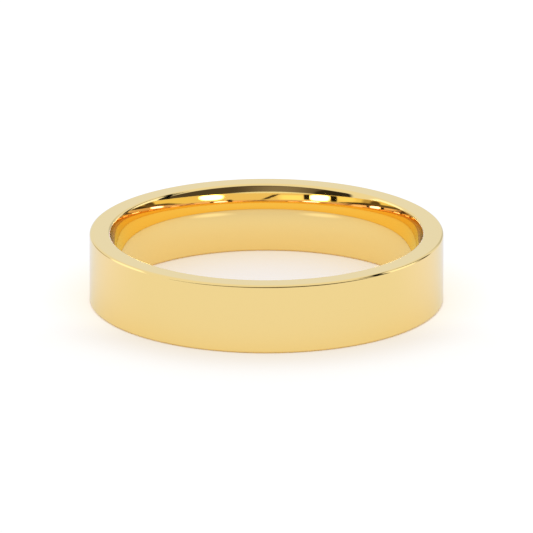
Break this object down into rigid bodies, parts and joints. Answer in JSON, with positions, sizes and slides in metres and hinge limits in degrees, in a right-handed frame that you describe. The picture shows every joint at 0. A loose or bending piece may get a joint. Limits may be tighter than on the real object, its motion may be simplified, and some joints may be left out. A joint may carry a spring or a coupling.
{
  "type": "wedding band",
  "caption": "Plain polished yellow-gold ring with a flat outside, flat rims and a domed comfort-fit finger hole.",
  "frame": {"origin": "centre of the lower rim plane, on the surface that the ring lies on", "axes": "+Z along the finger hole, from the lower rim to the upper rim; X and Y are in the plane of the ring"},
  "size_m": [0.02, 0.02, 0.004],
  "materials": {
    "yellow_gold": "high-polish yellow gold alloy, mirror bright, with fine polishing lines round the ring"
  },
  "bodies": {
    "root": {"band": "yellow_gold"}
  },
  "joints": []
}
